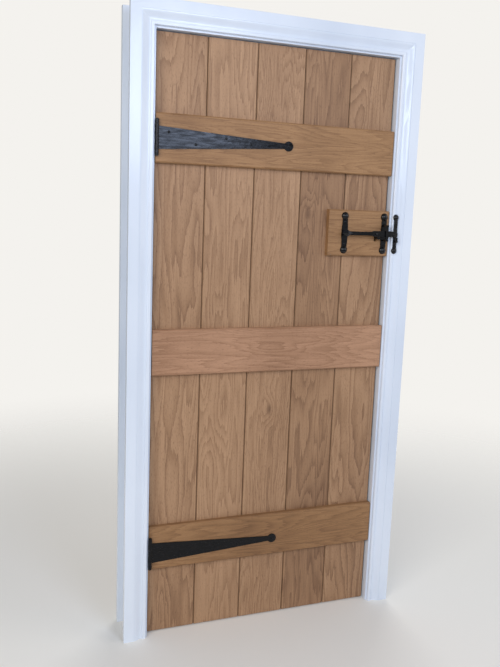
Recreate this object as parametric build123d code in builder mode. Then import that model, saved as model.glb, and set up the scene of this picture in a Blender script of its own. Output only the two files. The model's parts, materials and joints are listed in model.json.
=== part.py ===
"""Ledged oak door in a painted lining, with tee hinges and a ball-end thumb latch.

Frame: X along the wall, Y into the wall, Z up. The origin is on the floor, under the
middle of the opening and halfway through the whole depth.
"""
from math import radians, sin
import os

from build123d import *

# Leaf and opening
leaf_width = 838.0
leaf_height = 1981.0
side_gap = 3.0
foot_gap = 5.0
head_gap = 4.0
board_count = 5
board_thickness = 20.0
ledge_thickness = 20.0
ledge_height = 152.0
ledge_centres = (316.0, 988.5, 1668.5)
ledge_inset = 1.0
ledge_chamfer = 4.0
v_groove = 3.0
tongue_thickness = 6.0
tongue_depth = 7.0
tongue_clearance = 0.4
block_width = 232.0
block_height = 158.0
latch_below_ledge = 276.5
board_gap = 0.8

# Lining, stops and architrave
lining_depth = 115.0
lining_thickness = 32.0
stop_thickness = 12.0
stop_depth = 38.0
stop_clearance = 1.5
stop_chamfer = 1.5
architrave_width = 76.0
architrave_thickness = 19.0
architrave_reveal = 6.0
bead_thickness = 12.0
bead_width = 12.0
flat_band = 34.0
quirk_step = 1.2
ogee_foot = 8.5
ogee_swell = 1.2
bead_round = 2.0
groove_width = 3.5

# Tee hinges
hinge_heights = {"top": 1668.5, "bottom": 302.0}
strap_length = 457.0
strap_thickness = 3.0
strap_root = 70.0
strap_tip = 16.0
penny_radius = 16.0
barrel_radius = 6.0
barrel_set = 0.5
hinge_pin_radius = 3.0
pin_clearance = 0.05
frame_knuckle = 20.0
strap_knuckle = 24.0
middle_knuckle = 20.4
knuckle_gap = 0.4
pin_head_radius = 4.5
pin_head_height = 2.5
pin_chamfer = 1.2
frame_plate_thickness = 2.0
frame_plate_depth = 30.0
plate_screw_set = 4.0
plate_screw_rise = 40.0
swing_clearance = 0.8
strap_screw_steps = ((38, 18), (125, -15), (225, 10), (310, -2))

# Screws
screw_head_radius = 4.0
screw_shank_radius = 2.0
screw_head_depth = 2.2
screw_clearance = 0.1
screw_length = 17.0
catch_screw_length = 34.0

# Cut nails that hold the boards to the ledges
nail_width = 3.4
nail_length = 34.0
nail_head_width = 8.0
nail_head_height = 1.6
nail_spread = 90.0
nail_rise = 80.0

# Latch
plate_thickness = 3.0
ball_radius = 14.5
ball_sink = 5.0
ball_spacing = 116.0
stem_width = 17.0
waist_width = 24.0
stem_screw_rise = 37.0
latch_pivot_inset = 171.0
bar_standoff = 15.2
bar_thickness = 4.8
bar_play = 0.2
bar_height = 20.0
bar_neck = 13.0
bar_neck_length = 92.0
bar_taper = 14.0
bar_eye_radius = 9.0
bar_end_margin = 5.0
bar_nose = 2.0
bar_heel = 6.0
stud_radius = 4.0
stud_boss_radius = 7.0
pyramid_width = 42.0
pyramid_height = 24.0
pyramid_rise = 8.5
pyramid_tip = 1.2
knob_radius = 5.0
knob_place = 114.0
bar_low = 3.0
bar_high = 5.0
keeper_inset = 18.0
keeper_width = 10.0
keeper_leg = 6.0
keeper_front_gap = 1.5
keeper_strap = 3.5
keeper_margin = 1.2
catch_set = 12.0
catch_stem = 14.0
catch_ball_radius = 12.0
catch_ball_sink = 4.0
hook_width = 6.0
hook_nose_gap = 1.5
hook_nose = 5.0
hook_floor = 8.0
hook_clearance = 0.8
hook_ball_radius = 5.0

# Thumb lever and pull handle on the far face
lever_inset = 49.0
lever_finger = 18.0
lever_finger_drop = 5.0
lever_width = 6.0
lever_height = 8.0
lever_gap = 0.8
lever_pin_radius = 2.0
lever_pin_depth = 9.0
lever_ear = 3.0
lever_ear_gap = 0.6
lever_ear_radius = 7.0
pad_radius = 13.0
pad_reach = 30.0
pad_thickness = 4.0
slot_width = 10.0
slot_rise = 14.8
slot_drop = 12.2
handle_width = 36.0
handle_top = 40.0
handle_bottom = 190.0
handle_screw_rises = (28.0, -38.0, -178.0)
grip_radius = 5.0
grip_standoff = 38.0
grip_top = 52.0
grip_length = 115.0
grip_bend = 16.0

# Sizes that follow
opening_width = leaf_width + 2 * side_gap
opening_height = leaf_height + foot_gap + head_gap
half_opening = opening_width / 2
half_leaf = leaf_width / 2
latch_height = ledge_centres[-1] - latch_below_ledge
latch_pivot_x = half_leaf - latch_pivot_inset
keeper_x = half_leaf - keeper_inset
lever_x = half_leaf - lever_inset
catch_x = half_opening + architrave_reveal + catch_set
board_width = leaf_width / board_count
bar_back_gap = bar_standoff + plate_thickness
hook_reach = (ledge_inset - bar_back_gap - bar_thickness - hook_nose_gap - hook_nose)
front_reach = -hook_reach + hook_ball_radius / 2
rear_reach = lining_depth + architrave_thickness
front_y = -(rear_reach - front_reach) / 2
rear_y = front_y + lining_depth
ledge_face = front_y + ledge_inset
board_face = ledge_face + ledge_thickness
board_back = board_face + board_thickness
axis_x = -half_opening + barrel_radius
axis_y = ledge_face - barrel_radius - barrel_set
plate_face = ledge_face - plate_thickness
bar_back = plate_face - bar_standoff
bar_front = bar_back - bar_thickness
block_left = half_leaf - block_width
lever_top = latch_height - bar_height / 2 - lever_gap
lever_z = lever_top - lever_height / 2
lever_pin_y = board_back + lever_pin_depth
catch_face = front_y - bead_thickness - plate_thickness

CENTRE_BOTTOM = (Align.CENTER, Align.CENTER, Align.MIN)
os.makedirs("parts", exist_ok=True)


def keep(builder, name):
    """Label one finished piece and write it."""
    builder.part.label = name
    export_step(builder.part, f"parts/{name}.step")


def block(x, y, z, mode=Mode.ADD):
    """A box between pairs of limits along X, Y and Z."""
    centre = [(low + high) / 2 for low, high in (x, y, z)]
    with Locations(tuple(centre)):
        Box(x[1] - x[0], y[1] - y[0], z[1] - z[0], mode=mode)


def seats(points, drive):
    """Planes with their normals along the way that a screw is driven."""
    side = (0, 0, 1)
    return [Plane(origin=point, x_dir=side, z_dir=drive) for point in points]


def screws(points, drive, length, mode=Mode.ADD):
    """Countersunk screws, or their seats with a small clearance all round."""
    slack = screw_clearance if mode == Mode.SUBTRACT else 0.0
    with Locations(*seats(points, drive)):
        Cone(
            screw_head_radius + slack,
            screw_shank_radius + slack,
            screw_head_depth,
            align=CENTRE_BOTTOM,
            mode=mode,
        )
        Cylinder(screw_shank_radius + slack, length + slack, align=CENTRE_BOTTOM, mode=mode)


def nails(points, mode=Mode.ADD):
    """Square nails driven from the far face, or their holes with a small clearance."""
    slack = screw_clearance if mode == Mode.SUBTRACT else 0.0
    half = nail_width / 2 + slack
    for x, y, z in points:
        block((x - half, x + half), (y - nail_length - slack, y), (z - half, z + half), mode=mode)
        if mode == Mode.ADD:
            reach = nail_head_width / 2
            block((x - reach, x + reach), (y, y + nail_head_height), (z - reach, z + reach))


# Nail places: two through each board into each ledge, on a slant
board_centres = [-half_leaf + (i + 0.5) * board_width for i in range(board_count)]
nail_places = {}
for number, centre in enumerate(board_centres):
    nail_places[number] = [
        (centre + side * nail_spread / 2, board_back, height + side * nail_rise / 2)
        for height in ledge_centres
        for side in (-1, 1)
    ]


# Screw places: hinge straps and frame plates
def strap_screw_places(height):
    """Four staggered screws along the taper and one in the round end."""
    face = ledge_face - strap_thickness
    places = [(axis_x + along, face, height + rise) for along, rise in strap_screw_steps]
    places.append((axis_x + strap_length - penny_radius, face, height))
    return places


def frame_screw_places(height):
    """Three screws through the hidden plate into the jamb."""
    face = -half_opening + frame_plate_thickness
    depth = front_y + frame_plate_depth / 2 + plate_screw_set
    return [(face, depth, height + rise) for rise in (-plate_screw_rise, 0, plate_screw_rise)]


# Screw places: latch plates, catch and pull handle
ball_heights = [latch_height + side * ball_spacing / 2 for side in (-1, 1)]
stem_heights = [latch_height + side * stem_screw_rise for side in (-1, 1)]
latch_screw_places = [(x, plate_face, z) for x in (latch_pivot_x, keeper_x) for z in stem_heights]
catch_screw_places = [(catch_x, catch_face, z) for z in stem_heights]
handle_face = board_back + plate_thickness
handle_screw_places = [(lever_x, handle_face, latch_height + rise) for rise in handle_screw_rises]


# Boards: tongue on the right, groove on the left, a V on both faces of each joint
def board_outline(left, right, has_groove, has_tongue):
    """Plan of one board, anticlockwise from its near left corner."""
    middle = (board_face + board_back) / 2
    half = tongue_thickness / 2
    slack = tongue_clearance / 2
    points = [(left + v_groove, board_face), (right - v_groove, board_face), (right, board_face + v_groove)]
    if has_tongue:
        points += [(right, middle - half), (right + tongue_depth, middle - half)]
        points += [(right + tongue_depth, middle + half), (right, middle + half)]
    points += [(right, board_back - v_groove), (right - v_groove, board_back), (left + v_groove, board_back)]
    points += [(left, board_back - v_groove)]
    if has_groove:
        deep = left + tongue_depth + slack
        points += [(left, middle + half + slack), (deep, middle + half + slack)]
        points += [(deep, middle - half - slack), (left, middle - half - slack)]
    points += [(left, board_face + v_groove)]
    return points


def lever_slot():
    """The upright slot that the thumb lever works in."""
    z = (lever_z - slot_drop, lever_z + slot_rise)
    x = (lever_x - slot_width / 2, lever_x + slot_width / 2)
    block(x, (front_y, board_back + plate_thickness + 1), z, mode=Mode.SUBTRACT)


for number, centre in enumerate(board_centres):
    left, right = centre - board_width / 2, centre + board_width / 2
    if number > 0:
        left += board_gap / 2
    if number < board_count - 1:
        right -= board_gap / 2
    with BuildPart() as board:
        with BuildSketch(Plane.XY.offset(foot_gap)):
            with BuildLine():
                outline = board_outline(left, right, number > 0, number < board_count - 1)
                Polyline(*outline, close=True)
            make_face()
        extrude(amount=leaf_height)
        nails(nail_places[number], mode=Mode.SUBTRACT)
        if left < lever_x < right:
            lever_slot()
            screws(handle_screw_places, (0, -1, 0), screw_length, mode=Mode.SUBTRACT)
    keep(board, f"board_{number + 1}")


# Ledges and the block behind the latch: chamfered round the near face
def chamfered_rail(x, z):
    """A flat rail on the near face of the boards."""
    block(x, (ledge_face, board_face), z)
    near = edges().filter_by(Axis.X).group_by(Axis.Y)[0]
    chamfer(near, length=ledge_chamfer)


for name, height in zip(("bottom", "middle", "top"), ledge_centres):
    with BuildPart() as ledge:
        chamfered_rail((-half_leaf, half_leaf), (height - ledge_height / 2, height + ledge_height / 2))
        low, high = height - ledge_height / 2, height + ledge_height / 2
        nails([place for row in nail_places.values() for place in row if low < place[2] < high], mode=Mode.SUBTRACT)
        if name in hinge_heights:
            places = strap_screw_places(hinge_heights[name])
            screws(places, (0, 1, 0), screw_length, mode=Mode.SUBTRACT)
    keep(ledge, f"{name}_ledge")

with BuildPart() as latch_block:
    chamfered_rail((block_left, half_leaf), (latch_height - block_height / 2, latch_height + block_height / 2))
    lever_slot()
    screws(latch_screw_places, (0, 1, 0), screw_length, mode=Mode.SUBTRACT)
keep(latch_block, "latch_block")

with BuildPart() as ledge_nails:
    for row in nail_places.values():
        nails(row)
keep(ledge_nails, "ledge_nails")


# Lining: two jambs with the head on top of them, and planted stops behind the leaf
def jamb(side):
    """One upright of the lining; side is -1 at the hinges and 1 at the latch."""
    x = sorted((side * half_opening, side * (half_opening + lining_thickness)))
    block(x, (front_y, rear_y), (0, opening_height))


with BuildPart() as hinge_jamb:
    jamb(-1)
    for height in hinge_heights.values():
        screws(frame_screw_places(height), (-1, 0, 0), screw_length, mode=Mode.SUBTRACT)
keep(hinge_jamb, "hinge_jamb")

with BuildPart() as lock_jamb:
    jamb(1)
    screws(catch_screw_places, (0, 1, 0), catch_screw_length, mode=Mode.SUBTRACT)
keep(lock_jamb, "lock_jamb")

lining_half = half_opening + lining_thickness
with BuildPart() as lining_head:
    block((-lining_half, lining_half), (front_y, rear_y), (opening_height, opening_height + lining_thickness))
keep(lining_head, "lining_head")

stop_y = (board_back + stop_clearance, board_back + stop_clearance + stop_depth)
stop_top = opening_height - stop_thickness
for side, name in ((-1, "hinge_stop"), (1, "lock_stop")):
    with BuildPart() as stop:
        block(sorted((side * half_opening, side * (half_opening - stop_thickness))), stop_y, (0, stop_top))
        corners = stop.edges().filter_by(Axis.Z).sort_by(lambda edge: abs(edge.center().X))[:2]
        chamfer(corners, length=stop_chamfer)
    keep(stop, name)

with BuildPart() as head_stop:
    block((-half_opening, half_opening), stop_y, (stop_top, opening_height))
    chamfer(head_stop.edges().filter_by(Axis.X).group_by(Axis.Z)[0], length=stop_chamfer)
keep(head_stop, "head_stop")

# Architrave: flat band, quirk, ogee, groove and inner bead, mitred at the corners
inner_edge = half_opening + architrave_reveal
outer_edge = inner_edge + architrave_width
outer_top = opening_height + architrave_reveal + architrave_width
inner_top = opening_height + architrave_reveal


def moulding(place):
    """Section of the moulding; place turns (distance from the outer edge, thickness) into a point."""
    ogee_start = place(flat_band, architrave_thickness - quirk_step)
    ogee_end_at = architrave_width - bead_width - groove_width
    ogee_end = place(ogee_end_at, ogee_foot)
    ogee_middle = place((flat_band + ogee_end_at) / 2, (architrave_thickness - quirk_step + ogee_foot) / 2)
    shoulder = place(flat_band + (ogee_end_at - flat_band) / 4, architrave_thickness - quirk_step - ogee_swell)
    hollow = place(flat_band + 3 * (ogee_end_at - flat_band) / 4, ogee_foot + ogee_swell)
    bead_start = place(architrave_width - bead_width, ogee_foot)
    bead_rise = place(architrave_width - bead_width, bead_thickness - bead_round)
    bead_top = place(architrave_width - bead_width + bead_round, bead_thickness)
    bead_end = place(architrave_width - bead_round, bead_thickness)
    bead_low = place(architrave_width, bead_thickness - bead_round)
    with BuildLine() as outline:
        Polyline(place(0, 0), place(0, architrave_thickness), place(flat_band, architrave_thickness), ogee_start)
        Spline(ogee_start, shoulder, ogee_middle, hollow, ogee_end)
        Polyline(ogee_end, bead_start, bead_rise, bead_top, bead_end, bead_low, place(architrave_width, 0))
        Line(place(architrave_width, 0), place(0, 0))
    make_face(outline.edges())


mitre_low = Plane(origin=(-inner_edge, 0, inner_top), z_dir=(1, 0, 1))
mitre_right = Plane(origin=(inner_edge, 0, inner_top), z_dir=(-1, 0, 1))

with BuildPart() as front_architrave_hinge_side:
    with BuildSketch(Plane.XY):
        moulding(lambda along, thick: (-outer_edge + along, front_y - thick))
    extrude(amount=outer_top)
    split(bisect_by=mitre_low, keep=Keep.BOTTOM)

with BuildPart() as front_architrave_head:
    with BuildSketch(Plane.YZ.offset(-outer_edge)):
        moulding(lambda along, thick: (front_y - thick, outer_top - along))
    extrude(amount=2 * outer_edge)
    split(bisect_by=mitre_low, keep=Keep.TOP)
    split(bisect_by=mitre_right, keep=Keep.TOP)

with BuildPart() as front_architrave_lock_side:
    add(mirror(front_architrave_hinge_side.part, about=Plane.YZ, mode=Mode.PRIVATE))
    screws(catch_screw_places, (0, 1, 0), catch_screw_length, mode=Mode.SUBTRACT)

lining_middle = Plane(origin=(0, (front_y + rear_y) / 2, 0), z_dir=(0, 1, 0))
front_pieces = (
    (front_architrave_hinge_side, "hinge_side"),
    (front_architrave_head, "head"),
)
for piece, name in front_pieces:
    keep(piece, f"front_architrave_{name}")
    with BuildPart() as rear_piece:
        add(mirror(piece.part, about=lining_middle, mode=Mode.PRIVATE))
    keep(rear_piece, f"rear_architrave_{name}")
keep(front_architrave_lock_side, "front_architrave_lock_side")

with BuildPart() as rear_architrave_lock_side:
    far_leg = mirror(front_architrave_hinge_side.part, about=lining_middle, mode=Mode.PRIVATE)
    add(mirror(far_leg, about=Plane.YZ, mode=Mode.PRIVATE))
keep(rear_architrave_lock_side, "rear_architrave_lock_side")

# Tee hinges: three knuckles on the frame plate, two on the strap, one loose pin
barrel_length = 2 * frame_knuckle + 2 * strap_knuckle + middle_knuckle
frame_spans = [
    (-barrel_length / 2, -barrel_length / 2 + frame_knuckle),
    (-middle_knuckle / 2, middle_knuckle / 2),
    (barrel_length / 2 - frame_knuckle, barrel_length / 2),
]
strap_spans = [
    (frame_spans[0][1] + knuckle_gap, frame_spans[1][0] - knuckle_gap),
    (frame_spans[1][1] + knuckle_gap, frame_spans[2][0] - knuckle_gap),
]


def knuckle(span, height):
    """One rolled knuckle about the hinge axis."""
    with Locations((axis_x, axis_y, height + span[0])):
        Cylinder(barrel_radius, span[1] - span[0], align=CENTRE_BOTTOM)


def pin_bore(height):
    """The running bore through a set of knuckles."""
    with Locations((axis_x, axis_y, height)):
        Cylinder(hinge_pin_radius + pin_clearance, barrel_length + 2, mode=Mode.SUBTRACT)


root_x = axis_x + barrel_radius + swing_clearance
end_x = axis_x + strap_length - penny_radius
strap_back = ledge_face
for name, height in hinge_heights.items():
    with BuildPart() as strap:
        with BuildSketch(Plane(origin=(0, strap_back, height), x_dir=(1, 0, 0), z_dir=(0, -1, 0))):
            with BuildLine():
                Polyline(
                    (root_x, -strap_root / 2),
                    (end_x, -strap_tip / 2),
                    (end_x, strap_tip / 2),
                    (root_x, strap_root / 2),
                    close=True,
                )
            make_face()
            with Locations((end_x, 0)):
                Circle(penny_radius)
        extrude(amount=strap_thickness)
        for low, high in strap_spans:
            block((axis_x, root_x), (strap_back - strap_thickness, strap_back), (height + low, height + high))
            knuckle((low, high), height)
        pin_bore(height)
        screws(strap_screw_places(height), (0, 1, 0), screw_length, mode=Mode.SUBTRACT)
    keep(strap, f"{name}_hinge_strap")

    plate_x = (-half_opening, -half_opening + frame_plate_thickness)
    plate_y = (axis_y + barrel_radius + swing_clearance, front_y + frame_plate_depth)
    with BuildPart() as frame_plate:
        block(plate_x, plate_y, (height - barrel_length / 2, height + barrel_length / 2))
        for low, high in frame_spans:
            block(plate_x, (axis_y, plate_y[0]), (height + low, height + high))
            knuckle((low, high), height)
        pin_bore(height)
        screws(frame_screw_places(height), (-1, 0, 0), screw_length, mode=Mode.SUBTRACT)
    keep(frame_plate, f"{name}_hinge_plate")

    with BuildPart() as hinge_pin:
        with Locations((axis_x, axis_y, height - barrel_length / 2)):
            Cylinder(hinge_pin_radius, barrel_length, align=CENTRE_BOTTOM)
        for side in (-1, 1):
            with Locations((axis_x, axis_y, height + side * (barrel_length + pin_head_height) / 2)):
                Cylinder(pin_head_radius, pin_head_height)
        chamfer(hinge_pin.edges().group_by(Axis.Z)[-1], length=pin_chamfer)
    keep(hinge_pin, f"{name}_hinge_pin")

    with BuildPart() as strap_screws:
        screws(strap_screw_places(height), (0, 1, 0), screw_length)
    keep(strap_screws, f"{name}_strap_screws")

    with BuildPart() as plate_screws:
        screws(frame_screw_places(height), (-1, 0, 0), screw_length)
    keep(plate_screws, f"{name}_plate_screws")


# Latch plates: a tapered stem, widest in the middle, with a ball at each end
def near_plane(y):
    """A plane facing the near side, with X to the right and the latch line at zero height."""
    return Plane(origin=(0, y, latch_height), x_dir=(1, 0, 0), z_dir=(0, -1, 0))


def ball_plate(x, back, end_width, middle_width, radius, sink):
    """A latch plate with domed balls that stand on the plane of its back."""
    reach = ball_spacing / 2
    ends, middle = end_width / 2, middle_width / 2
    with BuildSketch(near_plane(back)) as face:
        with BuildLine():
            Polyline(
                (x - ends, -reach),
                (x + ends, -reach),
                (x + middle, 0),
                (x + ends, reach),
                (x - ends, reach),
                (x - middle, 0),
                close=True,
            )
        make_face()
    extrude(face.sketch, amount=plate_thickness)
    with Locations(*[(x, back + sink, z) for z in ball_heights]):
        Sphere(radius)
    behind = (back, back + radius + sink)
    block((x - 2 * radius, x + 2 * radius), behind, (0, opening_height), mode=Mode.SUBTRACT)


with BuildPart() as latch_pivot_plate:
    ball_plate(latch_pivot_x, ledge_face, stem_width, waist_width, ball_radius, ball_sink)
    with BuildSketch(near_plane(plate_face)):
        with Locations((latch_pivot_x, 0)):
            Circle(stud_boss_radius)
    extrude(amount=bar_standoff - bar_play)
    with BuildSketch(near_plane(plate_face)):
        with Locations((latch_pivot_x, 0)):
            Circle(stud_radius)
    extrude(amount=bar_standoff + bar_thickness + bar_play)
    pyramid_base = bar_front - bar_play
    with BuildSketch(near_plane(pyramid_base)):
        with BuildLine():
            half_w, half_h = pyramid_width / 2, pyramid_height / 2
            Polyline(
                (latch_pivot_x - half_w, 0),
                (latch_pivot_x, -half_h),
                (latch_pivot_x + half_w, 0),
                (latch_pivot_x, half_h),
                close=True,
            )
        make_face()
    with BuildSketch(near_plane(pyramid_base - pyramid_rise)):
        with Locations((latch_pivot_x, 0)):
            Rectangle(pyramid_tip, pyramid_tip, rotation=45)
    loft()
    screws(latch_screw_places, (0, 1, 0), screw_length, mode=Mode.SUBTRACT)
keep(latch_pivot_plate, "latch_pivot_plate")

bar_end = catch_x + bar_end_margin
neck_end = latch_pivot_x + bar_neck_length
with BuildPart() as latch_bar:
    with BuildSketch(near_plane(bar_back)):
        with BuildLine():
            Polyline(
                (latch_pivot_x, -bar_neck / 2),
                (neck_end, -bar_neck / 2),
                (neck_end + bar_taper, -bar_height / 2),
                (bar_end - bar_nose, -bar_height / 2),
                (bar_end, bar_nose - bar_height / 2),
                (bar_end, bar_height / 2 - bar_heel),
                (bar_end - bar_heel, bar_height / 2),
                (neck_end + bar_taper, bar_height / 2),
                (neck_end, bar_neck / 2),
                (latch_pivot_x, bar_neck / 2),
                close=True,
            )
        make_face()
        with Locations((latch_pivot_x, 0)):
            Circle(bar_eye_radius)
            Circle(stud_radius + pin_clearance, mode=Mode.SUBTRACT)
    extrude(amount=bar_thickness)
    with Locations((latch_pivot_x + knob_place, bar_front, latch_height)):
        Sphere(knob_radius)
    knob_x = (latch_pivot_x + knob_place - knob_radius, latch_pivot_x + knob_place + knob_radius)
    knob_z = (latch_height - knob_radius, latch_height + knob_radius)
    block(knob_x, (bar_back, bar_back + knob_radius), knob_z, mode=Mode.SUBTRACT)
keep(latch_bar, "latch_bar")

keeper_reach = keeper_x + keeper_width / 2 - latch_pivot_x
window_low = -keeper_reach * sin(radians(bar_low)) - bar_height / 2 - keeper_margin
window_high = keeper_reach * sin(radians(bar_high)) + bar_height / 2 + keeper_margin
with BuildPart() as latch_keeper:
    ball_plate(keeper_x, ledge_face, stem_width, waist_width, ball_radius, ball_sink)
    keeper_span = (keeper_x - keeper_width / 2, keeper_x + keeper_width / 2)
    keeper_front = bar_front - keeper_front_gap - keeper_strap
    keeper_z = (latch_height + window_low - keeper_leg, latch_height + window_high + keeper_leg)
    block(keeper_span, (keeper_front, plate_face), keeper_z)
    window_z = (latch_height + window_low, latch_height + window_high)
    block(keeper_span, (bar_front - keeper_front_gap, plate_face), window_z, mode=Mode.SUBTRACT)
    screws(latch_screw_places, (0, 1, 0), screw_length, mode=Mode.SUBTRACT)
keep(latch_keeper, "latch_keeper")

# Catch on the architrave: the bar drops into a notch behind the nose
catch_back = front_y - bead_thickness
bar_bottom = latch_height - bar_height / 2
hook_floor_z = bar_bottom - (bar_end - latch_pivot_x) * sin(radians(bar_low)) - hook_clearance
nose_top = bar_bottom - hook_clearance
nose_y = (bar_front - hook_nose_gap - hook_nose, bar_front - hook_nose_gap)
hook_x = (catch_x - hook_width / 2, catch_x + hook_width / 2)
with BuildPart() as latch_catch:
    ball_plate(catch_x, catch_back, catch_stem, catch_stem, catch_ball_radius, catch_ball_sink)
    block(hook_x, (nose_y[0], catch_face), (hook_floor_z - hook_floor, hook_floor_z))
    block(hook_x, nose_y, (hook_floor_z, nose_top))
    with Locations((catch_x, nose_y[0] + hook_ball_radius / 2, hook_floor_z - hook_floor / 2)):
        Sphere(hook_ball_radius)
    screws(catch_screw_places, (0, 1, 0), catch_screw_length, mode=Mode.SUBTRACT)
keep(latch_catch, "latch_catch")

with BuildPart() as latch_screws:
    screws(latch_screw_places, (0, 1, 0), screw_length)
keep(latch_screws, "latch_screws")

with BuildPart() as catch_screws:
    screws(catch_screw_places, (0, 1, 0), catch_screw_length)
keep(catch_screws, "catch_screws")

# Thumb lever: it turns on a cross pin behind the leaf and lifts the bar from below
lever_tip = bar_front + bar_thickness / 2
with BuildPart() as thumb_lever:
    x = (lever_x - lever_width / 2, lever_x + lever_width / 2)
    block(x, (lever_tip, lever_pin_y + pad_reach / 2), (lever_z - lever_height / 2, lever_top))
    with Locations((lever_x, lever_pin_y + pad_reach - pad_radius / 2, lever_top - pad_thickness)):
        Cylinder(pad_radius, pad_thickness, align=CENTRE_BOTTOM)
    with BuildSketch(Plane(origin=(lever_x, lever_tip, lever_top), x_dir=(1, 0, 0), z_dir=(0, -1, 0))):
        with BuildLine():
            Polyline(
                (-lever_width / 2, 0),
                (-lever_width / 2, -lever_height),
                (lever_finger, -lever_finger_drop - lever_height / 2),
                (lever_finger, -lever_finger_drop),
                (lever_width / 2, 0),
                close=True,
            )
        make_face()
    extrude(amount=-bar_thickness)
    with Locations(Plane(origin=(lever_x, lever_pin_y, lever_z), z_dir=(1, 0, 0))):
        Cylinder(lever_pin_radius + pin_clearance, 2 * lever_width, mode=Mode.SUBTRACT)
keep(thumb_lever, "thumb_lever")

ear_inner = lever_width / 2 + lever_ear_gap
ear_outer = ear_inner + lever_ear
with BuildPart() as lever_pin:
    with Locations(Plane(origin=(lever_x, lever_pin_y, lever_z), z_dir=(1, 0, 0))):
        Cylinder(lever_pin_radius, 2 * ear_outer)
keep(lever_pin, "lever_pin")

# Pull handle: back plate with two ears for the cross pin, and a round grip below
grip_axis_y = handle_face + grip_standoff
grip_high = latch_height - grip_top
with BuildPart() as pull_handle:
    plate_z = (latch_height - handle_bottom, latch_height + handle_top)
    plate_span = (lever_x - handle_width / 2, lever_x + handle_width / 2)
    block(plate_span, (board_back, handle_face), plate_z)
    chamfer(pull_handle.edges().filter_by(Axis.Y), length=handle_width / 4)
    for side in (-1, 1):
        ear = sorted((lever_x + side * ear_inner, lever_x + side * ear_outer))
        ear_z = (lever_z - lever_ear_radius, lever_z + lever_ear_radius)
        block(ear, (board_back, lever_pin_y), ear_z)
        with Locations(Plane(origin=(ear[0], lever_pin_y, lever_z), z_dir=(1, 0, 0))):
            Cylinder(lever_ear_radius, lever_ear, align=CENTRE_BOTTOM)
    x = (lever_x - ear_inner, lever_x + ear_inner)
    z = (lever_z - slot_drop, lever_z + slot_rise)
    block(x, (board_back, handle_face), z, mode=Mode.SUBTRACT)
    with Locations(Plane(origin=(lever_x, lever_pin_y, lever_z), z_dir=(1, 0, 0))):
        Cylinder(lever_pin_radius, 3 * ear_outer, mode=Mode.SUBTRACT)
    with BuildLine() as grip_line:
        FilletPolyline(
            (lever_x, handle_face - 1, grip_high),
            (lever_x, grip_axis_y, grip_high),
            (lever_x, grip_axis_y, grip_high - grip_length),
            (lever_x, handle_face - 1, grip_high - grip_length),
            radius=grip_bend,
        )
    with BuildSketch(Plane(origin=grip_line.line @ 0, z_dir=grip_line.line % 0)):
        Circle(grip_radius)
    sweep(path=grip_line.line)
    screws(handle_screw_places, (0, -1, 0), screw_length, mode=Mode.SUBTRACT)
keep(pull_handle, "pull_handle")

with BuildPart() as handle_screws:
    screws(handle_screw_places, (0, -1, 0), screw_length)
keep(handle_screws, "handle_screws")

# How far the thumb lever turns for each degree that the bar lifts
lift_ratio = (lever_x - latch_pivot_x) / (lever_pin_y - lever_tip)
print(f"Lever turns {lift_ratio:.4f} degrees for each degree of the bar")
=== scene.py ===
import json
import math
import bmesh
import bpy
from mathutils import Matrix, Vector


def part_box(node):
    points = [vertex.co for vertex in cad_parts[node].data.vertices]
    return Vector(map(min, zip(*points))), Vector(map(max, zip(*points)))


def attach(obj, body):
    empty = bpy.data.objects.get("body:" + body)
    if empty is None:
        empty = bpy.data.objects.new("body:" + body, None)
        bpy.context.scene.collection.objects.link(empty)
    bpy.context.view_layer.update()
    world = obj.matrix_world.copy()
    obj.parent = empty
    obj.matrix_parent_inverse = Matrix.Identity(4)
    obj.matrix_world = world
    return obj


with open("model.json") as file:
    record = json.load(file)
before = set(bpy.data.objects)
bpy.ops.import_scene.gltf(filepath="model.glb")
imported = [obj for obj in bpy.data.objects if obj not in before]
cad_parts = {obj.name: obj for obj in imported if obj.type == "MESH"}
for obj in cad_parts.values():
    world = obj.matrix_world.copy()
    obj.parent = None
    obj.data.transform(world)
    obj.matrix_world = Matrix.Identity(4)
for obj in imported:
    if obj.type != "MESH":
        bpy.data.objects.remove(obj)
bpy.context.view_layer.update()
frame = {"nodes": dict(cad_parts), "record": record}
mm = 0.001
print("frame loaded")


def hexColour(code, alpha=1.0):  # sRGB hex to linear
    parts = [int(code[i:i + 2], 16) / 255 for i in (1, 3, 5)]
    return tuple(p / 12.92 if p <= 0.04045 else ((p + 0.055) / 1.055) ** 2.4 for p in parts) + (alpha,)


# in0, in1 and so on are inputs by number, and stops are the (place, hex) of a colour ramp
def addNode(tree, kind, settings=None, stops=(), **links):
    node = tree.nodes.new(kind)
    for key, value in (settings or {}).items():
        setattr(node, key, value)
    for name, value in links.items():
        key = int(name[2:]) if name.startswith("in") and name[2:].isdigit() else name.replace("_", " ")
        if isinstance(value, bpy.types.NodeSocket):
            tree.links.new(value, node.inputs[key])
        else:
            node.inputs[key].default_value = value
    if stops:
        elements = node.color_ramp.elements
        while len(elements) < len(stops):
            elements.new(0.5)
        for element, (place, colour) in zip(elements, stops):
            element.position = place
            element.color = hexColour(colour)
    return node


def newMaterial(name, roughness, **shader):  # constants go on the shader's own sockets
    material = bpy.data.materials.new(name)
    material.use_nodes = True
    tree = material.node_tree
    tree.nodes.clear()
    surface = addNode(tree, "ShaderNodeBsdfPrincipled", Roughness=roughness, **shader)
    output = addNode(tree, "ShaderNodeOutputMaterial")
    tree.links.new(surface.outputs["BSDF"], output.inputs["Surface"])
    return material, tree, surface


def objectPoint(tree, scale, shift=(0, 0, 0)):  # scale is in cycles per metre
    point = addNode(tree, "ShaderNodeTexCoord").outputs["Object"]
    return addNode(tree, "ShaderNodeMapping", Vector=point, Location=shift, Scale=scale).outputs["Vector"]


seedSpread = (1.0, 0.37, 0.71)  # how far a seed moves a pattern along X, Y and Z


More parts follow.
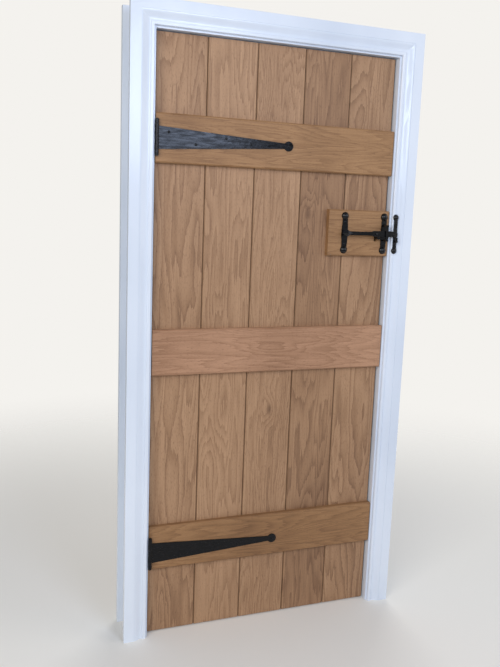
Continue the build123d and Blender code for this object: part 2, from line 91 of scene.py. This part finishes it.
def stretchedPoint(tree, settings, kind, along, seed=0.0):  # for a pattern that is longer one way
    across, down = 1000 / settings[kind + "Width"], 1000 / settings[kind + "Length"]
    scale = (across, across, down) if along == "Z" else (down, across, across)
    return objectPoint(tree, scale, tuple(seed * part for part in seedSpread))


# camera and light
photoCamera = {
    "place": (-0.917, -2.3202, 1.4571),
    "yaw": 20.436,        # degrees from straight on, turned to the right
    "pitch": -8.863,
    "roll": 2.186,
    "focalPixels": 727.2,
    "imageHeight": 667.0,
    "axisRight": 4.28,    # pixels from the middle of the picture to the lens axis
    "axisUp": 9.73,
    "sensor": 36.0,       # mm
}


def makeCamera(c):
    data = bpy.data.cameras.new("photoCamera")
    camera = bpy.data.objects.new("photoCamera", data)
    bpy.context.scene.collection.objects.link(camera)
    data.sensor_fit = "VERTICAL"
    data.sensor_height = c["sensor"]
    data.lens = c["sensor"] * c["focalPixels"] / c["imageHeight"]
    data.shift_x = -c["axisRight"] / c["imageHeight"]
    data.shift_y = -c["axisUp"] / c["imageHeight"]
    yaw, pitch, roll = (math.radians(c[key]) for key in ("yaw", "pitch", "roll"))
    ahead = Vector((math.sin(yaw) * math.cos(pitch), math.cos(yaw) * math.cos(pitch), math.sin(pitch)))
    level = Vector((math.cos(yaw), -math.sin(yaw), 0))
    upright = level.cross(ahead)
    right = level * math.cos(roll) + upright * math.sin(roll)
    up = upright * math.cos(roll) - level * math.sin(roll)
    turn = Matrix((right, up, -ahead)).transposed().to_4x4()
    camera.matrix_world = Matrix.Translation(Vector(c["place"])) @ turn
    bpy.context.scene.camera = camera


lampTarget = (0, 0, 1.0)
lamps = {
    "left": {"place": (-2.8, -2.8, 2.4), "size": 2.4, "watts": 82, "colour": "#fffaf3"},
    "window": {"place": (0.36, -2.9, 2.2), "size": 0.95, "watts": 25, "colour": "#cfdfff"},
    "right": {"place": (2.8, -2.0, 2.2), "size": 2.4, "watts": 26, "colour": "#fffaf2"},
    "behind": {"place": (1.6, 3.0, 2.4), "size": 2.6, "watts": 60, "colour": "#ffffff"},
}
room = {"fill": "#eef1f6", "fillStrength": 0.36, "shown": "#f4f2ee", "shownStrength": 1.0}


def makeLamp(name, lamp):
    data = bpy.data.lights.new(name + "Lamp", "AREA")
    data.size = lamp["size"]
    data.energy = lamp["watts"]
    data.color = hexColour(lamp["colour"])[:3]
    lampObject = bpy.data.objects.new(name + "Lamp", data)
    lampObject.location = lamp["place"]
    aim = Vector(lampTarget) - Vector(lamp["place"])
    lampObject.rotation_euler = aim.to_track_quat("-Z", "Y").to_euler()
    bpy.context.scene.collection.objects.link(lampObject)


def makeWorld(r):  # a soft fill on the object, and a pale surround where the camera looks past it
    world = bpy.data.worlds.new("softRoom")
    bpy.context.scene.world = world
    world.use_nodes = True
    tree = world.node_tree
    tree.nodes.clear()
    rays = addNode(tree, "ShaderNodeLightPath").outputs
    fill = addNode(tree, "ShaderNodeBackground", Color=hexColour(r["fill"]), Strength=r["fillStrength"])
    shown = addNode(tree, "ShaderNodeBackground", Color=hexColour(r["shown"]), Strength=r["shownStrength"])
    seen = addNode(tree, "ShaderNodeMath", {"operation": "MAXIMUM"}, in0=rays["Is Camera Ray"],
                   in1=rays["Is Transmission Ray"])
    mix = addNode(tree, "ShaderNodeMixShader", in0=seen.outputs[0], in1=fill.outputs[0], in2=shown.outputs[0])
    addNode(tree, "ShaderNodeOutputWorld", Surface=mix.outputs[0])


makeCamera(photoCamera)
for lampName, lamp in lamps.items():
    makeLamp(lampName, lamp)
makeWorld(room)
bpy.context.scene.view_settings.view_transform = "Standard"
print("camera and light ready")

# oiled oak: planed boards with open grain
# the eye gets thin loops of figure, fine streaks and short dark pores
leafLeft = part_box("board_1")[0].x / mm
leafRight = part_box("board_5")[1].x / mm
boardCount = 5
boardOak = {
    "loops": 24.0,          # contour lines of figure in each unit of the slow noise
    "loopEdge": 2.6,        # how late in a loop its dark line starts
    "loopPale": 0.66,
    "loopDark": 0.2,
    "figureWidth": 92.0,    # mm across the board in one swell of the figure
    "figureLength": 760.0,  # mm along the grain
    "figureShare": 0.38,    # how much the figure counts against the streaks
    "waver": 0.05,          # how far the streaks bend the figure's lines
    "streakWidth": 4.2,     # mm between streaks, coarser than real so that they show
    "streakLength": 380.0,
    "fineWidth": 1.4,
    "fineLength": 60.0,
    "fineShare": 0.5,
    "swellWidth": 250.0,    # mm, a slow change of tone over the whole leaf
    "swellLength": 769.2,
    "swellShare": 0.3,
    "poreWidth": 1.2,
    "poreLength": 12.0,
    "poreFrom": 0.6,        # noise above this shows as a pore
    "poreFull": 0.72,
    "poreShare": 0.5,
    "pore": "#5f4230",
    "toneStops": (0.3, 0.5, 0.68),
    "tones": ("#70513b", "#9c795b", "#ba9574"),  # dark, middle and light
    "knotSquash": 0.45,     # a knot's width as a share of its length
    "knotReach": 3.4,       # knot radii over which the figure runs round it
    "knotPush": 0.12,
    "knotCore": (0.15, 1.15),
    "knotShare": 0.6,
    "jointEvery": (leafRight - leafLeft) / boardCount,  # mm between the joints of the boards
    "jointEdge": 1.2,       # mm each side of a joint that are darkest
    "jointShadeAndGrimeReach": 3.6,       # mm each side of a joint that painted groove shade and grime darken
    # colour of the painted shade in the joint grooves, mixed with grime
    "shadeAndGrime": "#49331f",
    "shadeAndGrimeShare": 0.5,
    "roughness": 0.5,
    "smoother": 0.1,        # taken off the roughness in dark streaks
    "rougher": 0.12,        # added to it in pale ones
    "specular": 0.35,
    "relief": 0.6,          # mm
    "bumpStrength": 0.3,
}
ledgeOak = {**boardOak, "tones": ("#694a31", "#906b48", "#ae865e"), "figureLength": 900.0, "shadeAndGrimeShare": 0.0}
oakNoises = {  # how far each pattern is moved from the board's seed, and its texture settings
    "figure": (0, {"Detail": 2.5, "Roughness": 0.42, "Distortion": 0.35}),
    "streak": (3, {"Detail": 3.0, "Roughness": 0.6}),
    "fine": (9, {"Detail": 2.0}),
    "pore": (7, {"Detail": 1.0}),
}
floatMix = {"data_type": "FLOAT"}
colourMix = {"data_type": "RGBA"}
smoothRange = {"interpolation_type": "SMOOTHSTEP"}


def knotDistance(tree, s):  # from the knot's middle, in knot radii
    x, z, radius = s["knot"]
    cycles = 1000 / radius
    tall = cycles * s["knotSquash"]
    point = objectPoint(tree, (cycles, 0, tall), (-x * mm * cycles, 0, -z * mm * tall))
    return addNode(tree, "ShaderNodeVectorMath", {"operation": "LENGTH"}, Vector=point).outputs["Value"]


def oakFigure(tree, s, slow, streaks, toKnot):  # contour lines of a slow noise, each dark on one side
    bent = addNode(tree, "ShaderNodeMath", {"operation": "MULTIPLY_ADD"}, in0=streaks, in1=s["waver"],
                   in2=slow)
    contour = bent.outputs[0]
    if toKnot is not None:  # the figure runs round the knot
        swirl = addNode(tree, "ShaderNodeMapRange", smoothRange, Value=toKnot, From_Min=0.0,
                        From_Max=s["knotReach"], To_Min=s["knotPush"], To_Max=0.0)
        pushed = addNode(tree, "ShaderNodeMath", {"operation": "ADD"}, in0=contour, in1=swirl.outputs[0])
        contour = pushed.outputs[0]
    counted = addNode(tree, "ShaderNodeMath", {"operation": "MULTIPLY"}, in0=contour, in1=s["loops"])
    loop = addNode(tree, "ShaderNodeMath", {"operation": "FRACT"}, in0=counted.outputs[0])
    line = addNode(tree, "ShaderNodeMath", {"operation": "POWER"}, in0=loop.outputs[0], in1=s["loopEdge"])
    tone = addNode(tree, "ShaderNodeMapRange", Value=line.outputs[0], From_Min=0.0, From_Max=1.0,
                   To_Min=s["loopPale"], To_Max=s["loopDark"])
    return tone.outputs[0]


def knotCore(tree, s, wood, toKnot):  # the dark heart of a knot
    start, end = s["knotCore"]
    core = addNode(tree, "ShaderNodeMapRange", smoothRange, Value=toKnot, From_Min=start, From_Max=end,
                   To_Min=s["knotShare"], To_Max=0.0)
    return addNode(tree, "ShaderNodeMix", colourMix, in0=core.outputs[0], in6=wood,
                   in7=hexColour(s["pore"])).outputs[2]


def jointShadeAndGrime(tree, s, wood):  # painted shade of the grooves, with grime, that darkens the wood beside each joint
    cycles = 1000 / s["jointEvery"]
    point = objectPoint(tree, (cycles, 1, 1), (-leafLeft * mm * cycles, 0, 0))
    across = addNode(tree, "ShaderNodeSeparateXYZ", Vector=point)
    away = addNode(tree, "ShaderNodeMath", {"operation": "PINGPONG"}, in0=across.outputs["X"], in1=0.5)
    shadedAndSoiled = addNode(tree, "ShaderNodeMapRange", Value=away.outputs[0], From_Min=s["jointEdge"] * mm * cycles,
                     From_Max=s["jointShadeAndGrimeReach"] * mm * cycles, To_Min=s["shadeAndGrimeShare"], To_Max=0.0)
    return addNode(tree, "ShaderNodeMix", colourMix, in0=shadedAndSoiled.outputs[0], in6=wood,
                   in7=hexColour(s["shadeAndGrime"])).outputs[2]


def makeOak(name, along, s):  # along is the axis that the grain runs on
    material, tree, surface = newMaterial(name, s["roughness"], Specular_IOR_Level=s["specular"])
    noise = {}
    for kind, (step, texture) in oakNoises.items():
        point = stretchedPoint(tree, s, kind, along, s["seed"] + step)
        noise[kind] = addNode(tree, "ShaderNodeTexNoise", Vector=point, Scale=1.0, **texture).outputs["Fac"]
    toKnot = knotDistance(tree, s) if "knot" in s else None
    figure = oakFigure(tree, s, noise["figure"], noise["streak"], toKnot)
    swellScale = (1000 / s["swellWidth"], 1000 / s["swellWidth"], 1000 / s["swellLength"])
    swell = addNode(tree, "ShaderNodeTexNoise", Scale=1.0, Detail=2.0,
                    Vector=objectPoint(tree, swellScale, (s["seed"], 0, s["seed"])))
    grain = addNode(tree, "ShaderNodeMix", floatMix, in0=s["fineShare"], in2=noise["streak"],
                    in3=noise["fine"]).outputs[0]
    figured = addNode(tree, "ShaderNodeMix", floatMix, in0=s["figureShare"], in2=grain, in3=figure)
    toned = addNode(tree, "ShaderNodeMix", floatMix, in0=s["swellShare"], in2=figured.outputs[0],
                    in3=swell.outputs["Fac"])
    shifted = addNode(tree, "ShaderNodeMath", {"operation": "ADD"}, in0=toned.outputs[0], in1=s["tone"])
    colour = addNode(tree, "ShaderNodeValToRGB", stops=tuple(zip(s["toneStops"], s["tones"])),
                     Fac=shifted.outputs[0])
    pores = addNode(tree, "ShaderNodeMapRange", Value=noise["pore"], From_Min=s["poreFrom"],
                    From_Max=s["poreFull"], To_Min=0.0, To_Max=s["poreShare"]).outputs[0]
    wood = addNode(tree, "ShaderNodeMix", colourMix, in0=pores, in6=colour.outputs["Color"],
                   in7=hexColour(s["pore"])).outputs[2]
    if toKnot is not None:
        wood = knotCore(tree, s, wood, toKnot)
    # painted groove shade and grime at the joints, on the boards only
    if s["shadeAndGrimeShare"] > 0:
        wood = jointShadeAndGrime(tree, s, wood)
    tree.links.new(wood, surface.inputs["Base Color"])
    height = addNode(tree, "ShaderNodeMath", {"operation": "SUBTRACT"}, in0=grain, in1=pores)
    bump = addNode(tree, "ShaderNodeBump", Strength=s["bumpStrength"], Distance=s["relief"] * mm,
                   Height=height.outputs[0])
    tree.links.new(bump.outputs[0], surface.inputs["Normal"])
    rough = addNode(tree, "ShaderNodeMapRange", Value=grain, From_Min=0.0, From_Max=1.0,
                    To_Min=s["roughness"] - s["smoother"], To_Max=s["roughness"] + s["rougher"])
    tree.links.new(rough.outputs[0], surface.inputs["Roughness"])
    return material


def dress(node, material):  # one material for the whole of a CAD node
    mesh = frame["nodes"][node].data
    mesh.materials.clear()
    mesh.materials.append(material)


boards = {  # a knot is its x, its height and its radius in mm
    "board_1": {"seed": 1.3, "tone": 0.02, "loops": 15.0, "figureShare": 0.5},
    "board_2": {"seed": 7.9, "tone": 0.05, "loops": 19.0, "figureShare": 0.44},
    "board_3": {"seed": 14.2, "tone": 0.05, "loops": 24.0, "figureShare": 0.4, "knot": (3, 773, 11)},
    "board_4": {"seed": 23.6, "tone": -0.04, "loops": 17.0, "figureShare": 0.44, "knot": (116, 1452, 13)},
    "board_5": {"seed": 31.1, "tone": 0.02, "loops": 13.0, "figureShare": 0.52},
}
rails = {
    "top_ledge": {"seed": 41.7, "tone": 0.05},
    "middle_ledge": {"seed": 52.4, "tone": 0.07, "tones": ("#70503a", "#9c7559", "#ba9072")},
    "bottom_ledge": {"seed": 63.8, "tone": -0.04},
    "latch_block": {"seed": 71.5, "tone": 0.02},
}
for node, choice in boards.items():
    dress(node, makeOak("oiledOak_" + node, "Z", {**boardOak, **choice}))
for node, choice in rails.items():
    dress(node, makeOak("oiledOak_" + node, "X", {**ledgeOak, **choice}))
print("oak dressed")

# gloss paint on softwood: the eye gets a near-white coat with the faint ridges that a brush leaves
paint = {
    # the pale blue of both paint colours is the cool daylight's cast, painted into the white
    "colour": "#e1eaf7",
    "shade": "#d6e0ef",
    "shadeBelow": 0.3,      # levels of the cloud noise where the two colours are pure
    "colourAbove": 0.62,
    "cloudWidth": 200.0,    # mm
    "cloudLength": 454.5,
    "brushWidth": 2.4,      # mm between ridges
    "brushLength": 260.0,
    "relief": 0.4,          # mm
    "bumpStrength": 0.14,
    "roughness": 0.24,
    "coat": 0.25,
    "coatRoughness": 0.12,
}


def makePaint(name, along, s):  # along is the way the brush went
    material, tree, surface = newMaterial(name, s["roughness"], Coat_Weight=s["coat"],
                                          Coat_Roughness=s["coatRoughness"])
    ridges = addNode(tree, "ShaderNodeTexNoise", Scale=1.0, Detail=2.0,
                     Vector=stretchedPoint(tree, s, "brush", along))
    cloud = addNode(tree, "ShaderNodeTexNoise", Scale=1.0, Detail=2.0,
                    Vector=stretchedPoint(tree, s, "cloud", "Z"))
    colour = addNode(tree, "ShaderNodeValToRGB", Fac=cloud.outputs["Fac"],
                     stops=((s["shadeBelow"], s["shade"]), (s["colourAbove"], s["colour"])))
    tree.links.new(colour.outputs["Color"], surface.inputs["Base Color"])
    bump = addNode(tree, "ShaderNodeBump", Strength=s["bumpStrength"], Distance=s["relief"] * mm,
                   Height=ridges.outputs["Fac"])
    tree.links.new(bump.outputs[0], surface.inputs["Normal"])
    return material


paintUpright = makePaint("glossPaintUpright", "Z", paint)
paintLevel = makePaint("glossPaintLevel", "X", paint)
for node in ("hinge_jamb", "lock_jamb", "hinge_stop", "lock_stop",
             "front_architrave_hinge_side", "front_architrave_lock_side",
             "rear_architrave_hinge_side", "rear_architrave_lock_side"):
    dress(node, paintUpright)
for node in ("lining_head", "head_stop", "front_architrave_head", "rear_architrave_head"):
    dress(node, paintLevel)

# black waxed iron: forged and hammered, so broad dimples break the sheen, and drawn out along its length
iron = {
    "black": "#020203",
    "rubbed": "#0d0e12",    # a faint painted bluish sheen on the high spots between hammer marks
    "blackBelow": 0.15,
    "rubbedAbove": 0.85,
    "dimple": 8.0,          # mm between hammer marks
    "drawn": 1.7,           # how much longer the marks are along X
    "softness": 0.9,
    "grit": 1.0,            # mm
    "gritShare": 0.25,
    "dimpleDepth": 0.45,    # mm
    "bumpStrength": 0.5,
    "markWidth": 7.692,     # mm, dull marks in the wax
    "markLength": 45.45,
    "markFrom": 0.38,       # noise below this is polished, and above the next is dull
    "markFull": 0.62,
    "roughness": 0.17,
    "polish": 0.04,         # below the roughness in the polished places
    "dullness": 0.2,        # above the roughness in the dull marks
    "specular": 0.24,
    "metallic": 0.0,        # wax over black scale, so it reflects as a coat does
    "coat": 0.08,
    "coatRoughness": 0.12,
}
latchIron = {**iron, "specular": 0.1, "coat": 0.6, "coatRoughness": 0.06, "dimpleDepth": 0.2}
screwIron = {**iron, "dimple": 3.0, "drawn": 1.0, "dimpleDepth": 0.3, "roughness": 0.34}


def makeIron(name, s):
    material, tree, surface = newMaterial(
        name, s["roughness"], Metallic=s["metallic"], Specular_IOR_Level=s["specular"],
        Coat_Weight=s["coat"], Coat_Roughness=s["coatRoughness"])
    cycles = 1000 / s["dimple"]
    point = objectPoint(tree, (cycles / s["drawn"], cycles, cycles))
    hammered = addNode(tree, "ShaderNodeTexVoronoi", {"feature": "SMOOTH_F1"}, Vector=point, Scale=1.0,
                       Smoothness=s["softness"])
    grit = addNode(tree, "ShaderNodeTexNoise", Scale=1.0, Detail=2.0,
                   Vector=objectPoint(tree, (1000 / s["grit"],) * 3))
    mixed = addNode(tree, "ShaderNodeMix", floatMix, in0=s["gritShare"], in2=hammered.outputs["Distance"],
                    in3=grit.outputs["Fac"])
    # black iron with a faint painted bluish sheen on the hammered high spots
    colour = addNode(tree, "ShaderNodeValToRGB", Fac=mixed.outputs[0],
                     stops=((s["blackBelow"], s["black"]), (s["rubbedAbove"], s["rubbed"])))
    tree.links.new(colour.outputs["Color"], surface.inputs["Base Color"])
    marks = addNode(tree, "ShaderNodeTexNoise", Scale=1.0, Detail=3.0,
                    Vector=stretchedPoint(tree, s, "mark", "X"))
    dull = addNode(tree, "ShaderNodeMapRange", Value=marks.outputs["Fac"], From_Min=s["markFrom"],
                   From_Max=s["markFull"], To_Min=s["roughness"] - s["polish"],
                   To_Max=s["roughness"] + s["dullness"])
    tree.links.new(dull.outputs[0], surface.inputs["Roughness"])
    bump = addNode(tree, "ShaderNodeBump", Strength=s["bumpStrength"], Distance=s["dimpleDepth"] * mm,
                   Height=mixed.outputs[0])
    tree.links.new(bump.outputs[0], surface.inputs["Normal"])
    tree.links.new(bump.outputs[0], surface.inputs["Coat Normal"])
    return material


hingeFinish = makeIron("blackWaxedIron", iron)
latchFinish = makeIron("blackLacqueredIron", latchIron)
screwFinish = makeIron("japannedScrew", screwIron)
for row in frame["record"]["subparts"]:
    if row["material_slot"] == "black_iron":
        dress(row["node"], hingeFinish if "hinge" in row["node"] else latchFinish)
    if row["material_slot"] == "black_screws":
        dress(row["node"], screwFinish)
print("paint and iron dressed")

# raised screw heads with a slot, one mesh for each body, over the flush faces of the CAD screws
near, far = -1, 1  # the side of the door that a head faces, along Y
screwHeads = {
    "radius": 4.6,        # mm
    "rise": 1.5,
    "slotWidth": 1.1,
    "slotDepth": 0.8,
    "slotReach": 2.4,     # length of the slot's cutter in head radii, so that it runs right across
    "sides": 20,
    "rings": 12,
    "seed": 5,            # turns the slots
    "bodies": {
        "leaf": {"top_strap_screws": near, "bottom_strap_screws": near, "latch_screws": near,
                 "handle_screws": far},
        "frame": {"catch_screws": near},
    },
}
mergeDistance = 0.001 * mm


def looseScrews(node):  # the points of each screw in a CAD node, from a merged copy of its mesh
    work = bmesh.new()
    work.from_mesh(frame["nodes"][node].data)
    bmesh.ops.remove_doubles(work, verts=work.verts, dist=mergeDistance)
    waiting, found = set(work.verts), []
    while waiting:
        points, reached = [], [waiting.pop()]
        while reached:
            point = reached.pop()
            points.append(point.co.copy())
            for other in [edge.other_vert(point) for edge in point.link_edges]:
                if other in waiting:
                    waiting.remove(other)
                    reached.append(other)
        found.append(points)
    work.free()
    return found


def headPlaces(node, side):  # the middle of each screw's face, in metres
    places = []
    for points in looseScrews(node):
        low = Vector([min(values) for values in zip(*points)])
        high = Vector([max(values) for values in zip(*points)])
        place = (low + high) / 2
        place.y = low.y if side == near else high.y
        places.append(place)
    return sorted(places, key=lambda p: (round(p.x, 4), -side * p.z))  # this order fixes each slot's turn


def headTree(name, h):
    tree = bpy.data.node_groups.new(name, "GeometryNodeTree")
    tree.interface.new_socket("Places", in_out="INPUT", socket_type="NodeSocketGeometry")
    for label in ("Radius", "Rise", "Slot Width", "Slot Depth"):
        tree.interface.new_socket(label, in_out="INPUT", socket_type="NodeSocketFloat")
    for label in ("Sides", "Rings", "Seed"):
        tree.interface.new_socket(label, in_out="INPUT", socket_type="NodeSocketInt")
    tree.interface.new_socket("Iron", in_out="INPUT", socket_type="NodeSocketMaterial")
    tree.interface.new_socket("Heads", in_out="OUTPUT", socket_type="NodeSocketGeometry")
    given = addNode(tree, "NodeGroupInput").outputs
    dome = addNode(tree, "GeometryNodeMeshUVSphere", Segments=given["Sides"], Rings=given["Rings"],
                   Radius=given["Radius"])
    flatness = addNode(tree, "ShaderNodeMath", {"operation": "DIVIDE"}, in0=given["Rise"],
                       in1=given["Radius"])
    flat = addNode(tree, "ShaderNodeCombineXYZ", X=1.0, Y=1.0, Z=flatness.outputs[0])
    low = addNode(tree, "GeometryNodeTransform", Geometry=dome.outputs["Mesh"], Scale=flat.outputs[0])
    length = addNode(tree, "ShaderNodeMath", {"operation": "MULTIPLY"}, in0=given["Radius"],
                     in1=h["slotReach"])
    depth = addNode(tree, "ShaderNodeMath", {"operation": "MULTIPLY"}, in0=given["Slot Depth"],
                    in1=2.0)  # half of the cutter is above the head
    size = addNode(tree, "ShaderNodeCombineXYZ", X=length.outputs[0], Y=given["Slot Width"],
                   Z=depth.outputs[0])
    cutter = addNode(tree, "GeometryNodeMeshCube", Size=size.outputs[0])
    lift = addNode(tree, "ShaderNodeCombineXYZ", Z=given["Rise"])
    raised = addNode(tree, "GeometryNodeTransform", Geometry=cutter.outputs["Mesh"],
                     Translation=lift.outputs[0])
    slotted = addNode(tree, "GeometryNodeMeshBoolean", {"operation": "DIFFERENCE"})
    tree.links.new(low.outputs[0], slotted.inputs["Mesh 1"])
    tree.links.new(raised.outputs[0], slotted.inputs["Mesh 2"])
    facing = addNode(tree, "GeometryNodeInputNamedAttribute", {"data_type": "FLOAT_VECTOR"}, Name="facing")
    aligned = addNode(tree, "FunctionNodeAlignRotationToVector", {"axis": "Z"}, Vector=facing.outputs[0])
    spin = addNode(tree, "FunctionNodeRandomValue", {"data_type": "FLOAT"}, in2=0.0, in3=math.pi,
                   Seed=given["Seed"])
    turn = addNode(tree, "FunctionNodeAxisAngleToRotation", Axis=(0, 0, 1), Angle=spin.outputs[1])
    turned = addNode(tree, "FunctionNodeRotateRotation", {"rotation_space": "LOCAL"},
                     Rotation=aligned.outputs[0], Rotate_By=turn.outputs[0])
    heads = addNode(tree, "GeometryNodeInstanceOnPoints", Points=given["Places"],
                    Instance=slotted.outputs[0], Rotation=turned.outputs[0])
    real = addNode(tree, "GeometryNodeRealizeInstances", Geometry=heads.outputs[0])
    coated = addNode(tree, "GeometryNodeSetMaterial", Geometry=real.outputs[0], Material=given["Iron"])
    addNode(tree, "NodeGroupOutput", Heads=coated.outputs[0])
    return tree


def makeHeads(body, nodes, tree, h, material):
    heads = [(place, (0, side, 0)) for node, side in nodes.items() for place in headPlaces(node, side)]
    mesh = bpy.data.meshes.new(body + "ScrewPlaces")
    mesh.from_pydata([place for place, way in heads], [], [])
    ways = mesh.attributes.new("facing", "FLOAT_VECTOR", "POINT")
    for i, (place, way) in enumerate(heads):
        ways.data[i].vector = way
    piece = bpy.data.objects.new(body + "ScrewHeads", mesh)
    bpy.context.scene.collection.objects.link(piece)
    modifier = piece.modifiers.new("screwHeads", "NODES")
    modifier.node_group = tree
    values = {"Radius": h["radius"] * mm, "Rise": h["rise"] * mm, "Slot Width": h["slotWidth"] * mm,
              "Slot Depth": h["slotDepth"] * mm, "Sides": h["sides"], "Rings": h["rings"],
              "Seed": h["seed"], "Iron": material}
    for item in tree.interface.items_tree:
        if item.in_out == "INPUT" and item.name in values:
            modifier[item.identifier] = values[item.name]
    evaluated = piece.evaluated_get(bpy.context.evaluated_depsgraph_get())
    plain = bpy.data.meshes.new_from_object(evaluated)
    piece.modifiers.remove(modifier)
    piece.data = plain
    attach(piece, body)
    print(body, "screw heads:", len(heads), "with", len(plain.polygons), "faces")


screwTree = headTree("raisedScrewHeads", screwHeads)
for body, nodes in screwHeads["bodies"].items():
    makeHeads(body, nodes, screwTree, screwHeads, screwFinish)

# pale floor that fades into the surround, so that the object's shadow stays
floor = {"half": 6.0, "solidTo": 1.1, "goneBy": 3.4, "colour": "#efede8", "roughness": 0.9}


def makeFloor(f):
    half = f["half"]
    corners = [(-half, -half, 0), (half, -half, 0), (half, half, 0), (-half, half, 0)]
    mesh = bpy.data.meshes.new("paleFloor")
    mesh.from_pydata(corners, [], [(0, 1, 2, 3)])
    ground = bpy.data.objects.new("paleFloor", mesh)
    bpy.context.scene.collection.objects.link(ground)
    material, tree, surface = newMaterial("paleFloorMatt", f["roughness"], Base_Color=hexColour(f["colour"]))
    output = next(node for node in tree.nodes if node.type == "OUTPUT_MATERIAL")
    away = addNode(tree, "ShaderNodeVectorMath", {"operation": "LENGTH"},
                   Vector=objectPoint(tree, (1, 1, 1))).outputs["Value"]
    fade = addNode(tree, "ShaderNodeMapRange", smoothRange, Value=away, From_Min=f["solidTo"],
                   From_Max=f["goneBy"], To_Min=0.0, To_Max=1.0)
    clear = addNode(tree, "ShaderNodeBsdfTransparent")
    mix = addNode(tree, "ShaderNodeMixShader", in0=fade.outputs[0], in1=surface.outputs[0],
                  in2=clear.outputs[0])
    tree.links.new(mix.outputs[0], output.inputs["Surface"])
    mesh.materials.append(material)


makeFloor(floor)
print("stage ready")
